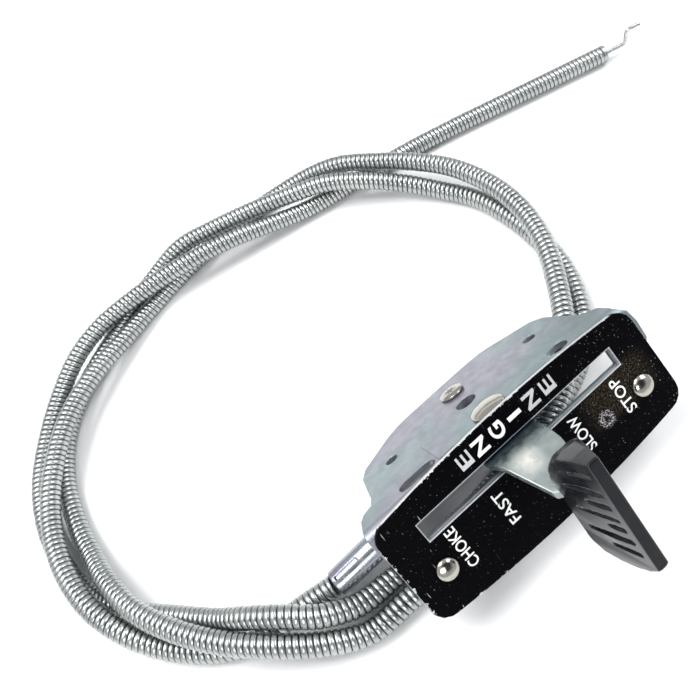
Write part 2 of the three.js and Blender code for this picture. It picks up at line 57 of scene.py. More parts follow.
# Centre line of the conduit on the table from the ferrule to the tail, in mm from the point
# under the head's origin.
ROUTE_SHIFT = Vector((HEAD_AT.x, HEAD_AT.y, 0))
ROUTE = [
    (-57, 17.6, 5.8), (-66, 19.4, 4.6), (-75, 20.8, 3.6), (-85, 23, 3.3), (-94.5, 28.8, 3.3),
    (-103.5, 37.5, 4.4), (-110, 47.5, 7.8), (-114.5, 60, 10), (-116, 76, 10.2),
    (-113.5, 91, 9.9), (-106.5, 106, 9.9), (-93, 122, 9.6), (-78.5, 131.3, 8.2),
    (-64.5, 137.8, 5.4), (-50, 143.6, 3.4), (-35, 147, 3.3), (-18, 149, 3.3), (0, 149.8, 3.3),
    (15, 148, 3.6), (27, 142.7, 6.2), (37, 133.4, 9.9), (46, 122.8, 10.2), (54.5, 111, 10),
    (61, 97, 10), (63.5, 80, 10), (61.5, 64.5, 10), (56, 50.5, 10), (47.5, 37.5, 10),
    (38, 26, 10), (26, 15, 9.9), (12, 8.5, 9.7), (-3, 3.8, 7.6), (-17, 1.4, 4.6),
    (-30, 1.4, 3.3), (-44, 2.2, 3.3), (-57, 2.8, 3.6), (-68, 7.8, 7.2), (-78.5, 15.8, 10),
    (-88.5, 25.4, 10.1), (-97, 36.5, 10.4), (-104, 50, 10.4), (-107.5, 64, 8.2),
    (-109, 77, 4.6), (-109, 90, 3.3), (-105.5, 107, 3.3), (-97, 122.5, 3.3),
    (-84, 134.2, 3.3), (-68, 143.6, 3.3), (-52, 151, 3.6), (-39, 153.8, 5.6),
    (-26, 152.3, 9.9), (-13, 148.6, 10.3), (2, 143.5, 10), (16, 137, 10), (28, 130, 10.3),
    (38, 120.3, 9), (47, 110, 6.4), (54.5, 98.5, 3.8), (60, 85, 3.3), (61, 72, 3.3),
    (60, 58, 3.3), (57, 45, 3.3), (51, 33.5, 3.3), (42, 22.8, 3.3), (30, 16, 3.3),
    (15, 12, 3.3), (0, 9.8, 3.3), (-16, 8.3, 3.3), (-32, 8.3, 3.3), (-44, 9, 3.7),
    (-55, 9.35, 5.9), (-64, 12.6, 9.9), (-71.5, 18.6, 11.8), (-79.5, 25.6, 10.2),
    (-87.5, 33, 5.9), (-97, 43, 3.4), (-107, 53.5, 3.3), (-114.5, 65, 3.3), (-118, 78, 3.3),
    (-118, 95, 3.3), (-113.5, 111.5, 3.3), (-104, 126.5, 3.3), (-92.5, 137.4, 4.8),
    (-79.5, 143.4, 8.3), (-66, 146.2, 10), (-52, 146.7, 10), (-38, 145.5, 10),
    (-24, 142.8, 9.9), (-10, 139.2, 9), (4, 135.6, 6.2), (17, 132.4, 3.8), (30, 129.4, 3.3),
    (45, 126.3, 3.3), (60, 123, 3.3), (78, 117.6, 3.3), (96, 111.5, 3.3), (116, 104.7, 3.3),
    (136, 97.9, 3.3),
]
CONDUIT = 6.35
CONDUIT_RADIUS = CONDUIT / 2
WIRE = 1.6
# The conduit's turns stand a little open in the loops and close up on the run to the tail.
PITCH = 1.76
TAIL_PITCH = 1.55
TAIL_RUN = 170
TAIL_EASE = 50

# Half sizes of the face plate, how far its long edges draw in towards their ends, and the
# middle and half sizes of its slot, in the head's frame.
FACE_HALF = (41.8, 16.9)
EDGE_BOW, EDGE_HALF = 1.9, 36.8
SLOT_AT = (0.6, 6.2)
SLOT_HALF = (31.9, 2.6)

# Vertices closer than this, in metres, are one.
WELD = 2e-6


# ---------------------------------------------------------------- camera
CAMERA_AT = (-0.03796, -0.05289, 0.18852)
CAMERA_AIM = (-0.00849, 0.07175, 0)
CAMERA_ROLL = -29.83


def aimed(at, aim, roll=0.0):
    """A placement at one point that looks towards another, rolled by some degrees."""
    turn = (Vector(aim) - Vector(at)).to_track_quat("-Z", "Y").to_matrix().to_4x4()
    return Matrix.Translation(at) @ turn @ Matrix.Rotation(math.radians(roll), 4, "Z")


camera = bpy.data.objects.new("camera", bpy.data.cameras.new("camera"))
camera.data.lens = 36
camera.data.sensor_width = 36
camera.data.clip_start = 0.01
camera.matrix_world = aimed(CAMERA_AT, CAMERA_AIM, CAMERA_ROLL)
bpy.context.scene.collection.objects.link(camera)
bpy.context.scene.camera = camera


# ---------------------------------------------------------------- mesh helpers
def add_piece(name, verts, faces, body, material, smooth=40):
    mesh = bpy.data.meshes.new(name)
    mesh.from_pydata([tuple(v) for v in verts], [], faces)
    mesh.validate()
    return add_mesh(name, mesh, body, material, smooth)


def add_mesh(name, mesh, body, material, smooth=40):
    obj = bpy.data.objects.new(name, mesh)
    bpy.context.scene.collection.objects.link(obj)
    mesh.materials.clear()
    mesh.materials.append(material)
    mesh.shade_smooth()
    if smooth < 180:
        mesh.set_sharp_from_angle(angle=math.radians(smooth))
    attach(obj, body)
    return obj


def catmull(points, spans=24):
    """A centripetal curve through the points, sampled finely."""
    pts = [2 * points[0] - points[1], *points, 2 * points[-1] - points[-2]]
    out = []
    for p0, p1, p2, p3 in zip(pts, pts[1:], pts[2:], pts[3:]):
        d0, d1, d2 = ((b - a).length ** 0.5 for a, b in ((p0, p1), (p1, p2), (p2, p3)))
        m1 = ((p1 - p0) / d0 - (p2 - p0) / (d0 + d1) + (p2 - p1) / d1) * d1
        m2 = ((p2 - p1) / d1 - (p3 - p1) / (d1 + d2) + (p3 - p2) / d2) * d1
        for i in range(spans):
            t = i / spans
            out.append(
                p1 + m1 * t + (3 * (p2 - p1) - 2 * m1 - m2) * t**2
                + (2 * (p1 - p2) + m1 + m2) * t**3
            )
    out.append(points[-1].copy())
    return out


class Path:
    """Places along a line by distance, each with its own frame that doesn't twist."""

    def __init__(self, points):
        self.points = np.array([tuple(p) for p in points])
        steps = np.linalg.norm(np.diff(self.points, axis=0), axis=1)
        self.at = np.concatenate([[0], np.cumsum(steps)])
        self.length = float(self.at[-1])
        tangents = np.gradient(self.points, self.at, axis=0)
        tangents /= np.linalg.norm(tangents, axis=1)[:, None]
        across = np.zeros_like(tangents)
        start = np.cross(tangents[0], (0, 0, 1) if abs(tangents[0][2]) < 0.9 else (1, 0, 0))
        across[0] = start / np.linalg.norm(start)
        for i in range(1, len(tangents)):
            side = across[i - 1] - tangents[i] * (across[i - 1] @ tangents[i])
            across[i] = side / np.linalg.norm(side)
        self.tangents, self.across = tangents, across

    def blend(self, values, s):
        """One of the line's lists of vectors, read at distances along it."""
        return np.stack([np.interp(s, self.at, values[:, k]) for k in range(3)], axis=-1)

    def surface(self, s, angle, radius):
        """Points round the line, by distance along it, angle and radius."""
        centre = self.blend(self.points, s)
        tangent = self.blend(self.tangents, s)
        side = self.blend(self.across, s)
        side /= np.linalg.norm(side, axis=-1)[..., None]
        up = np.cross(tangent, side)
        up /= np.linalg.norm(up, axis=-1)[..., None]
        turned = side * np.cos(angle)[..., None] + up * np.sin(angle)[..., None]
        return centre + turned * radius[..., None]


def rounded(points, radius, spans=6):
    """A run of straight lines with its corners rounded."""
    out = [points[0]]
    for a, b, c in zip(points, points[1:], points[2:]):
        reach = min(radius, (b - a).length * 0.49, (c - b).length * 0.49)
        start, end = b + (a - b).normalized() * reach, b + (c - b).normalized() * reach
        for i in range(spans + 1):
            t = i / spans
            out.append(start * (1 - t) ** 2 + b * 2 * t * (1 - t) + end * t**2)
    out.append(points[-1])
    return out


def ring_faces(rings, sides):
    """The faces that join rings of vertices one to the next."""
    return [
        (i * sides + j, i * sides + k, (i + 1) * sides + k, (i + 1) * sides + j)
        for i in range(rings - 1)
        for j, k in ((j, (j + 1) % sides) for j in range(sides))
    ]


def tube(points, radius, sides=20, chamfer=0.25):
    """A round wire with slightly rounded cut ends."""
    path = Path(points)
    cut, end = radius * chamfer, path.length
    stations = [(0, radius - cut), (cut * 0.6, radius)]
    stations += [(s, radius) for s in path.at[1:-1] if 2 * cut < s < end - 2 * cut]
    stations += [(end - cut * 0.6, radius), (end, radius - cut)]
    s = np.repeat([p[0] for p in stations], sides).reshape(-1, sides)
    r = np.repeat([p[1] for p in stations], sides).reshape(-1, sides)
    angle = np.tile(np.arange(sides) * 2 * math.pi / sides, (len(stations), 1))
    verts = path.surface(s, angle, r).reshape(-1, 3)
    faces = ring_faces(len(stations), sides)
    faces.append(tuple(reversed(range(sides))))
    faces.append(tuple(range((len(stations) - 1) * sides, len(stations) * sides)))
    return verts, faces


def wound_tube(path, start, end, sides=16):
    """Flat wire wound close round a path: one bead per pitch, with a groove between beads."""
    bead = [(0.0, 0.4), (0.07, 0.26), (0.2, 0.05), (0.5, 0.0), (0.8, 0.05), (0.93, 0.26)]
    deepest, per = bead[0][1], len(bead)
    begins = [start - PITCH * MM]
    while begins[-1] < end + 2 * PITCH * MM:
        past = (begins[-1] - end + TAIL_RUN * MM) / (TAIL_EASE * MM)
        closed = min(1, max(0, past))
        begins.append(begins[-1] + (PITCH + (TAIL_PITCH - PITCH) * closed) * MM)
    turns = len(begins) - 2
    rows = turns * per
    index = np.arange(rows)
    share = np.array([b[0] for b in bead])[index % per]
    sunk = np.array([b[1] for b in bead])[index % per]
    column = np.arange(sides) / sides
    place = (index // per + share)[:, None] + column[None, :]
    s = np.interp(place, np.arange(len(begins)), begins)
    inside = (s > start) & (s < end)
    uneven = 0.05 * np.sin(index * 0.37) * np.sin(index * 0.011)
    height = np.where(inside, uneven[:, None] - sunk[:, None], -0.25)
    radius = (CONDUIT_RADIUS + height) * MM
    s = np.clip(s, start, end)
    angle = np.broadcast_to(column * 2 * math.pi, s.shape)
    verts = path.surface(s, angle, radius).reshape(-1, 3)
    faces = []
    for i in range(rows - 1):
        for j in range(sides - 1):
            a, b = i * sides + j, (i + 1) * sides + j
            faces.append((a, a + 1, b + 1, b))
        if i + per + 1 < rows:
            a, b = i * sides + sides - 1, (i + 1) * sides + sides - 1
            c, d = (i + per) * sides, (i + per + 1) * sides
            faces.append((a, c, d, b))
    # How deep each vertex lies in its groove, which the conduit's material turns into painted
    # shade.
    groove = np.repeat(sunk / deepest, sides)
    return verts, faces, groove


def lathe(profile, at, towards, sides=48, ripple=None):
    """A turned piece from (distance along, radius) pairs, laid from one point towards another."""
    axis = (towards - at).normalized()
    turn = Vector((0, 0, 1)).rotation_difference(axis).to_matrix()
    verts = []
    for along, radius in profile:
        for j in range(sides):
            a = 2 * math.pi * j / sides
            r = radius if ripple is None else ripple(along, radius, a)
            verts.append(at + turn @ Vector((r * math.cos(a), r * math.sin(a), along)))
    return verts, ring_faces(len(profile), sides)


def in_head(verts):
    return [HEAD @ Vector(v) for v in verts]


# ---------------------------------------------------------------- materials
class Paint:
    """A node material of one Principled shader."""

    def __init__(self, name, metallic, roughness, **constant):
        self.material = bpy.data.materials.new(name)
        self.material.use_nodes = True
        self.tree = self.material.node_tree
        self.shader = self.tree.nodes["Principled BSDF"]
        self.shader.inputs["Metallic"].default_value = metallic
        self.shader.inputs["Roughness"].default_value = roughness
        for key, value in constant.items():
            self.shader.inputs[key.replace("_", " ")].default_value = value

    def node(self, kind, inputs=(), **props):
        node = self.tree.nodes.new(kind)
        for key, value in props.items():
            setattr(node, key, value)
        for key, value in dict(inputs).items():
            if isinstance(value, bpy.types.NodeSocket):
                self.tree.links.new(value, node.inputs[key])
            else:
                node.inputs[key].default_value = value
        return node

    def coords(self, head=True):
        """Places on the object in mm, in the head's frame or on the table."""
        raw = self.node("ShaderNodeTexCoord").outputs["Object"]
        if not head:
            return self.node("ShaderNodeMapping", {0: raw, 3: (1000, 1000, 1000)}).outputs[0]
        back = HEAD.inverted()
        return self.node(
            "ShaderNodeMapping",
            {
                0: raw,
                1: back.translation,
                2: back.to_3x3().normalized().to_euler(),
                3: (1000, 1000, 1000),
            },
        ).outputs[0]

    def axes(self, vector):
        return self.node("ShaderNodeSeparateXYZ", {0: vector}).outputs

    def math(self, operation, *values):
        return self.node("ShaderNodeMath", dict(enumerate(values)), operation=operation).outputs[0]

    def noise(self, vector, scale, detail=3.0, rough=0.55, stretch=None):
        if stretch:
            vector = self.node("ShaderNodeMapping", {0: vector, 3: stretch}).outputs[0]
        return self.node(
            "ShaderNodeTexNoise",
            {"Vector": vector, "Scale": scale, "Detail": detail, "Roughness": rough},
        ).outputs[0]

    def steps(self, value, low, high, to_low=0.0, to_high=1.0):
        return self.node(
            "ShaderNodeMapRange",
            {0: value, 1: low, 2: high, 3: to_low, 4: to_high},
            interpolation_type="SMOOTHSTEP",
        ).outputs[0]

    def mix(self, share, a, b):
        node = self.node("ShaderNodeMix", data_type="RGBA")
        for socket, value in ((node.inputs[0], share), (node.inputs[6], a), (node.inputs[7], b)):
            if isinstance(value, bpy.types.NodeSocket):
                self.tree.links.new(value, socket)
            else:
                socket.default_value = value if isinstance(value, float) else (*value, 1)
        return node.outputs[2]

    def both(self, a, b):
        return self.math("MULTIPLY", a, b)

    def most(self, a, b):
        return self.math("MAXIMUM", a, b)

    def near(self, axis, centre, reach, soft):
        """1 where a coordinate is within reach of the centre."""
        off = self.math("ABSOLUTE", self.math("SUBTRACT", axis, centre))
        return self.steps(off, reach, reach + soft, 1.0, 0.0)

    def set(self, **sockets):
        for key, value in sockets.items():
            self.tree.links.new(value, self.shader.inputs[key.replace("_", " ")])

    def bump(self, height, strength, distance):
        node = self.node(
            "ShaderNodeBump", {"Height": height, "Strength": strength, "Distance": distance}
        )
        self.tree.links.new(node.outputs[0], self.shader.inputs["Normal"])


def zinc(name, light, tint, dark, roughness):
    """Zinc plating: clouds of two tints, fine grain and small scuffs."""
    p = Paint(name, 0.85, roughness)
    at = p.coords()
    clouds = p.steps(p.noise(at, 0.045, 2.0), 0.38, 0.62)
    marks = p.steps(p.noise(at, 0.9, 5.0, 0.7, (1, 0.35, 1)), 0.6, 0.78)
    grain = p.noise(at, 5.0, 3.0)
    colour = p.mix(clouds, light, tint)
    colour = p.mix(p.both(marks, 0.5), colour, dark)
    colour = p.mix(p.steps(grain, 0.35, 0.75, 0.0, 0.18), colour, dark)
    rough = p.steps(p.noise(at, 0.3, 3.0), 0.3, 0.7, roughness - 0.07, roughness + 0.1)
    p.set(Base_Color=colour, Roughness=rough)
    p.bump(p.math("ADD", grain, p.both(marks, 0.6)), 0.12, 0.0001)
    return p.material


def steel(name, colour, dark, roughness, head=True):
    """Bare or nickel-plated steel with fine streaks."""
    p = Paint(name, 1.0, roughness)
    at = p.coords(head)
    streak = p.noise(at, 2.0, 4.0, 0.6, (0.25, 1, 1))
    fine = p.noise(at, 8.0, 3.0)
    p.set(
        Base_Color=p.mix(p.steps(streak, 0.4, 0.75), colour, dark),
        Roughness=p.steps(fine, 0.3, 0.75, roughness - 0.06, roughness + 0.12),
    )
    p.bump(fine, 0.1, 0.00008)
    return p.material


bracket_zinc = zinc(
    "bracket_zinc", (0.26, 0.32, 0.33), (0.31, 0.305, 0.35), (0.15, 0.19, 0.2), 0.4
)
hardware_zinc = zinc(
    "hardware_zinc", (0.36, 0.38, 0.41), (0.31, 0.31, 0.37), (0.17, 0.19, 0.21), 0.22
)
nickel = steel("rivet_nickel", (0.44, 0.42, 0.375), (0.36, 0.34, 0.30), 0.13)
# Painted shade: the dark colour of the staking dents in the pivot rivet.
stake_shade = steel("stake_painted_shade", (0.17, 0.16, 0.14), (0.1, 0.1, 0.09), 0.35)
spring_steel = steel("spring_steel", (0.45, 0.46, 0.48), (0.22, 0.22, 0.24), 0.28)
wire_steel = steel("wire_steel", (0.58, 0.59, 0.60), (0.30, 0.30, 0.31), 0.26)
tail_steel = steel("tail_wire_steel", (0.58, 0.59, 0.60), (0.30, 0.30, 0.31), 0.26, head=False)


def conduit_material():
    """Galvanised flat wire, with painted shade darkening the grooves between the beads."""
    p = Paint("conduit_galvanised", 1.0, 0.3)
    at = p.coords(False)
    groove = p.node("ShaderNodeAttribute", attribute_name="groove").outputs["Fac"]
    patches = p.steps(p.noise(at, 0.05, 3.0), 0.35, 0.65)
    stains = p.steps(p.noise(at, 1.1, 4.0, 0.65), 0.58, 0.74)
    colour = p.mix(patches, (0.47, 0.49, 0.48), (0.39, 0.41, 0.405))
    colour = p.mix(p.both(stains, 0.35), colour, (0.22, 0.23, 0.23))
    # Painted shade: the deeper the wire lies in its groove, the darker it is.
    colour = p.mix(p.steps(groove, 0.2, 0.95, 0.0, 0.9), colour, (0.035, 0.037, 0.04))
    p.set(
        Base_Color=colour,
        Roughness=p.steps(p.noise(at, 2.5, 3.0), 0.3, 0.7, 0.26, 0.38),
    )
    p.bump(p.noise(at, 6.0, 2.0), 0.1, 0.00008)
    return p.material


def face_paint():
    """Black enamel, worn to bright metal along its edges, with scuffs, scratches and dust."""
    p = Paint("face_enamel", 0.0, 0.35, Specular_IOR_Level=0.04)
    at = p.coords()
    x, y, _ = p.axes(at)
    ragged = p.noise(at, 0.55, 5.0, 0.7)
    fine = p.noise(at, 2.2, 4.0, 0.65)
    # Distance in from the bowed long edges and from the short ends.
    bow = p.math("MULTIPLY", p.math("POWER", p.math("DIVIDE", x, EDGE_HALF), 2.0), -EDGE_BOW)
    from_long = p.math("SUBTRACT", p.math("ADD", bow, FACE_HALF[1]), p.math("ABSOLUTE", y))
    from_short = p.math("SUBTRACT", FACE_HALF[0], p.math("ABSOLUTE", x))
    edge = p.math("MINIMUM", from_long, from_short)
    reach = p.steps(ragged, 0.5, 0.72, 0.0, 0.6)
    heavy = p.most(
        p.both(p.near(x, -8.0, 13.0, 9.0), p.steps(y, 8.0, 12.0)),
        p.both(p.near(x, -34.0, 8.0, 14.0), p.steps(y, 2.0, -6.0)),
    )
    heavy = p.most(heavy, p.steps(x, -36.0, -39.0))
    reach = p.both(reach, p.steps(heavy, 0.0, 1.0, 0.25, 1.5))
    worn = p.steps(p.math("SUBTRACT", edge, reach), 0.0, 0.12, 1.0, 0.0)
    # The sheared edges of the slot.
    slot_x, slot_y = (
        p.math("SUBTRACT", p.math("ABSOLUTE", p.math("SUBTRACT", axis, middle)), half)
        for axis, middle, half in zip((x, y), SLOT_AT, SLOT_HALF)
    )
    worn = p.most(worn, p.steps(p.most(slot_x, slot_y), 0.12, 0.34, 1.0, 0.0))
    # Specks, thicker towards the far end, and a rubbed ring beside the far rivet.
    specks = p.steps(p.noise(at, 1.7, 2.0, 0.5), 0.67, 0.74)
    specks = p.both(specks, p.steps(x, -10.0, 30.0, 0.35, 1.0))
    squares = [p.math("POWER", p.math("SUBTRACT", *pair), 2.0) for pair in ((x, 21.4), (y, -4.7))]
    from_ring = p.math("SUBTRACT", p.math("SQRT", p.math("ADD", *squares)), 1.5)
    ring = p.steps(p.math("ABSOLUTE", from_ring), 0.3, 1.1, 1.0, 0.0)
    ring = p.both(ring, p.steps(fine, 0.47, 0.6))
    scratch = p.both(
        p.steps(p.noise(at, 0.8, 3.0, 0.5, (1.4, 0.16, 1)), 0.67, 0.71),
        p.steps(x, -20.0, -32.0),
    )
    marks = p.most(p.most(p.both(specks, 0.55), ring), p.both(scratch, 0.7))
    dusty = p.both(p.near(x, 28.0, 7.0, 6.0), p.near(y, -1.0, 3.0, 4.0))
    dust = p.both(dusty, p.steps(fine, 0.4, 0.8, 0.0, 0.3))
    colour = p.mix(p.steps(fine, 0.3, 0.8), (0.0008, 0.0008, 0.0014), (0.002, 0.002, 0.003))
    colour = p.mix(dust, colour, (0.25, 0.2, 0.12))
    colour = p.mix(marks, colour, (0.45, 0.45, 0.46))
    colour = p.mix(worn, colour, (0.66, 0.67, 0.68))
    rough = p.math("ADD", p.steps(fine, 0.3, 0.7, 0.3, 0.45), p.both(marks, 0.2))
    p.set(Base_Color=colour, Roughness=rough, Metallic=p.both(worn, 0.85))
    height = p.math("SUBTRACT", p.both(fine, 0.25), p.both(p.most(worn, marks), 0.6))
    p.bump(height, 0.3, 0.0001)
    return p.material


def lever_material():
    """Zinc plating, with painted shade making it dark teal low on the lever by the slot, and a
    painted highlight where it bends out.
    """
    p = Paint("lever_zinc", 0.9, 0.3)
    at = p.coords()
    x, _, z = p.axes(at)
    mottle = p.noise(at, 0.5, 3.0, 0.6)
    cloud = p.noise(at, 0.11, 2.0)
    # Painted shade: dark teal low on the lever by the slot, lighter higher up.
    high = p.math("ADD", z, p.steps(mottle, 0.3, 0.7, -1.2, 1.2))
    colour = p.mix(p.steps(high, -1.0, 8.0), (0.06, 0.11, 0.14), (0.34, 0.38, 0.37))
    # Painted highlight: a bright patch where the lever bends out.
    painted_highlight = p.both(p.near(x, -3.0, 0.5, 4.5), p.near(z, 8.5, 0.5, 4.0))
    colour = p.mix(p.both(painted_highlight, p.steps(cloud, 0.2, 0.5, 0.5, 1.0)), colour, (0.78, 0.79, 0.73))
    colour = p.mix(p.steps(p.noise(at, 3.0, 4.0), 0.55, 0.8, 0.0, 0.3), colour, (0.2, 0.24, 0.25))
    p.set(Base_Color=colour, Roughness=p.steps(mottle, 0.3, 0.7, 0.27, 0.4))
    p.bump(mottle, 0.12, 0.0001)
    return p.material


def plastic_material():
    """Black moulded plastic with a satin surface and faint smears."""
    p = Paint("paddle_plastic", 0.0, 0.25, Specular_IOR_Level=0.42)
    at = p.coords()
    smear = p.noise(at, 0.1, 2.0, 0.5)
    fine = p.noise(at, 4.0, 3.0)
    p.set(
        Base_Color=p.mix(p.steps(smear, 0.4, 0.7), (0.004, 0.005, 0.008), (0.011, 0.011, 0.012)),
        Roughness=p.steps(smear, 0.35, 0.7, 0.2, 0.3),
    )
    p.bump(fine, 0.06, 0.00008)
    return p.material


def ink_material(name, bright, thin):
    """Screen-printed ink, thin and patchy where the paint shows through."""
    p = Paint(name, 0.0, 0.5)
    at = p.coords()
    worn = p.steps(p.noise(at, 2.6, 4.0, 0.7), 0.5, 0.72, 0.0, 0.8)
    rough = p.steps(p.noise(at, 5.0), 0.3, 0.7, 0.4, 0.6)
    p.set(Base_Color=p.mix(worn, bright, thin), Roughness=rough)
    return p.material


# ---------------------------------------------------------------- the conduit
def conduit_mesh(path, end):
    """The wound tube, closed at both ends, with how deep each vertex lies in its groove."""
    verts, faces, groove = wound_tube(path, 0, end)
    mesh = bpy.data.meshes.new("wound_conduit")
    mesh.from_pydata(verts.tolist(), [], faces)
    depths = mesh.attributes.new("groove", "FLOAT", "POINT")
    depths.data.foreach_set("value", groove.astype(np.float32))
    closing = bmesh.new()
    closing.from_mesh(mesh)
    bmesh.ops.remove_doubles(closing, verts=closing.verts, dist=WELD)
    rims = [e for e in closing.edges if e.is_boundary]
    bmesh.ops.holes_fill(closing, edges=rims, sides=0)
    bmesh.ops.recalc_face_normals(closing, faces=closing.faces)
    closing.to_mesh(mesh)
    closing.free()
    return mesh


CUT_END = 1.2
conduit_finish = conduit_material()
line = Path([(p + ROUTE_SHIFT) * MM for p in catmull([Vector(p) for p in ROUTE])])
mesh = conduit_mesh(line, line.length - CUT_END * MM)
conduit = add_mesh("wound_conduit", mesh, "head_and_conduit", conduit_finish, 70)
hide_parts("conduit_turn_1", "conduit_turn_2", "conduit_turn_3")

# The last wound turn, sheared off square, with the bore that the wire runs in.
tail = Vector(line.points[-1])
ahead = Vector(line.tangents[-1])
BORE = 1.15
top = CONDUIT_RADIUS
cut_profile = [
    (-6, BORE), (0, BORE), (0.12, BORE + 0.2), (0.12, top - 0.5), (0, top - 0.15), (-0.25, top),
    (-0.85, top), (-CUT_END, top - 0.3), (-1.5, top - 0.45), (-6, 1.6),
]
verts, faces = lathe([(a * MM, r * MM) for a, r in cut_profile], tail, tail + ahead)
cut_end = add_piece("conduit_cut_end", verts, faces, "head_and_conduit", conduit_finish)
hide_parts("conduit_tail_end")

# The wire's bare end: straight out of the bore, then up and forward again in a small Z.
TAIL_INSIDE = 5.5
TAIL_OUT = 8.2
Z_RISE = 5.6
Z_FOOT = 5.4


def on_tail(distance, rise=0.0):
    return tail + (ahead * distance + Vector((0, 0, rise))) * MM


z_line = [
    on_tail(-TAIL_INSIDE), on_tail(TAIL_OUT), on_tail(TAIL_OUT + 0.2, Z_RISE),
    on_tail(TAIL_OUT + Z_FOOT, Z_RISE),
]
verts, faces = tube(rounded(z_line, WIRE * MM), WIRE / 2 * MM)
z_end = add_piece("wire_z_bend", verts, faces, "tail_wire", tail_steel)
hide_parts("inner_wire_end")


# ---------------------------------------------------------------- ferrule and wire at the head
FERRULE_RADIUS = 3.9
FERRULE_LENGTH = 26
FERRULE_BORE = 1.1
FERRULE_SETBACK = 0.6
SEAM_FROM, SEAM_TO = 1.2, 9
SEAM_HALF_ANGLE = 0.13
SEAM_DEPTH = 0.7

direction = (WIRE_TO - WIRE_FROM).normalized()
ferrule_at = WIRE_FROM + direction * FERRULE_SETBACK
ferrule_turn = Vector((0, 0, 1)).rotation_difference(direction).to_matrix()
seam = ferrule_turn.inverted() @ Vector((0, 1, 1))
seam_angle = math.atan2(seam.y, seam.x)


def ferrule_seam(along, radius, angle):
    """The ferrule is rolled sheet: its seam gapes on top, near the mouth."""
    off = abs(math.remainder(angle - seam_angle, 2 * math.pi))
    if radius > 3 and off < SEAM_HALF_ANGLE and SEAM_FROM < along < SEAM_TO:
        return radius - SEAM_DEPTH
    return radius


def ferrule_profile():
    """From the far end through the bore, round the mouth's lip, and back along the outside."""
    out, far = FERRULE_RADIUS, FERRULE_LENGTH
    lip = [(far, FERRULE_BORE), (0.4, FERRULE_BORE), (0, 1.4)]
    lip += [(0, out - 0.6), (0.12, out - 0.3), (0.4, out - 0.2)]
    barrel = [(1 + i / 2, out - 0.2 * math.exp(-(1 + i / 2) / 6)) for i in range(27)]
    end = [(24.6, out), (25.6, out - 0.06), (25.9, out - 0.3), (far, out - 0.7)]
    return lip + barrel + end + [(far, FERRULE_BORE)]


verts, faces = lathe(ferrule_profile(), ferrule_at, ferrule_at + direction, 72, ferrule_seam)
ferrule = add_piece("crimped_ferrule", in_head(verts), faces, "head_and_conduit", hardware_zinc)
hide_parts("cable_ferrule")

# The wire starts inside the ferrule and hooks sideways through the lever.
WIRE_START = 16.2
HOOK_END = 8.6
wire_line = [
    WIRE_FROM + direction * WIRE_START,
    WIRE_TO - direction * 0.2,
    Vector((WIRE_TO.x, HOOK_END, WIRE_TO.z)),
]
verts, faces = tube(rounded(wire_line, 1.9), WIRE / 2)
head_wire = add_piece("wire_to_lever", in_head(verts), faces, "head_wire", wire_steel)
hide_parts("control_wire")


# ---------------------------------------------------------------- the CAD pieces that stay
def finish_node(name, material, bevel, angle=35):
    """A CAD piece with its material and softened edges."""
    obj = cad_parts[name]
    with bpy.context.temp_override(object=obj, active_object=obj, selected_objects=[obj]):
        bpy.ops.mesh.customdata_custom_splitnormals_clear()
    obj.data.materials.clear()
    obj.data.materials.append(material)
    obj.data.shade_smooth()
    weld = obj.modifiers.new("weld", "WELD")
    weld.merge_threshold = WELD
    soft = obj.modifiers.new("edges", "BEVEL")
    soft.width = bevel * MM
    soft.segments = 2
    soft.limit_method = "ANGLE"
    soft.angle_limit = math.radians(angle)
    soft.use_clamp_overlap = False
    obj.modifiers.new("shading", "WEIGHTED_NORMAL").keep_sharp = True


finish_node("face_plate", face_paint(), 0.16)
finish_node("control_bracket", bracket_zinc, 0.22)
for node in ("face_rivet_choke_end", "face_rivet_stop_end", "pivot_rivet", "guide_rivet"):
    finish_node(node, nickel, 0.12)
for node in ("pivot_retaining_washer", "pivot_spacer"):
    finish_node(node, hardware_zinc, 0.05)
for node in ("pivot_spring_washer", "friction_spring"):
    finish_node(node, spring_steel, 0.08)
finish_node("control_lever", lever_material(), 0.25)


# The staking tool left a star in the pivot rivet's head: eight points, low at their tips. It is
# drawn as a dark star of painted shade lying on the head, where the dents would be shaded.
STAR_AT = Vector((1.6, 16.83, -32))
STAR_TIPS = 8
star = [STAR_AT]
for i in range(2 * STAR_TIPS):
    turn = math.pi * i / STAR_TIPS
    reach, sunk = (2.3, 0.13) if i % 2 == 0 else (1.0, 0.09)
    star.append(STAR_AT + Vector((reach * math.sin(turn), -sunk, reach * math.cos(turn))))
star_faces = [(0, 1 + i, 1 + (i + 1) % (2 * STAR_TIPS)) for i in range(2 * STAR_TIPS)]
star_mark = add_piece(
    "pivot_rivet_star", in_head(star), star_faces, "head_and_conduit", stake_shade, 5
)


# ---------------------------------------------------------------- thumb paddle
# The paddle's outline across the slot and out of the face.
PADDLE_OUTLINE = [
    (12.5, 37.5), (12.4, 32), (11.8, 25.5), (10.4, 21.4), (8, 18.8), (4.6, 17.1), (0, 16.4),
    (-4, 15.7), (-8, 15.1), (-12, 15.2), (-15.3, 16.9), (-17.5, 20), (-18, 24), (-17.6, 29),
    (-16.4, 34), (-14.8, 37.5),
]
# Its two sides at each height.
PADDLE_SIDES = [
    (14, -3.9, 3.7), (17.5, -4.9, 4.5), (21.5, -4.4, 4.1), (29, -3.6, 1.9), (38, -3.0, -0.4),
]
# Each finger groove by its outer end, its length and its width.
GROOVES = [
    (8.6, 7, 1), (4.3, 12.7, 1.2), (0.9, 7.8, 1.1), (-2.3, 14, 0.8), (-4.8, 5.1, 1.2),
    (-8, 15, 1.4), (-11.3, 9, 1.2),
]
GROOVE_TOP = 34.8
GROOVE_LEAN = 0.07
GROOVE_DEPTH = 0.85
# The dish in the heel, by its height, its half sizes and its depth.
HEEL_AT = 22.5
HEEL_HALF = (2.6, 4.2)
HEEL_DEPTH = 0.45
# The paddle stands a few degrees askew of the slot, about its toe.
ASKEW = 0.055
TOE = -14


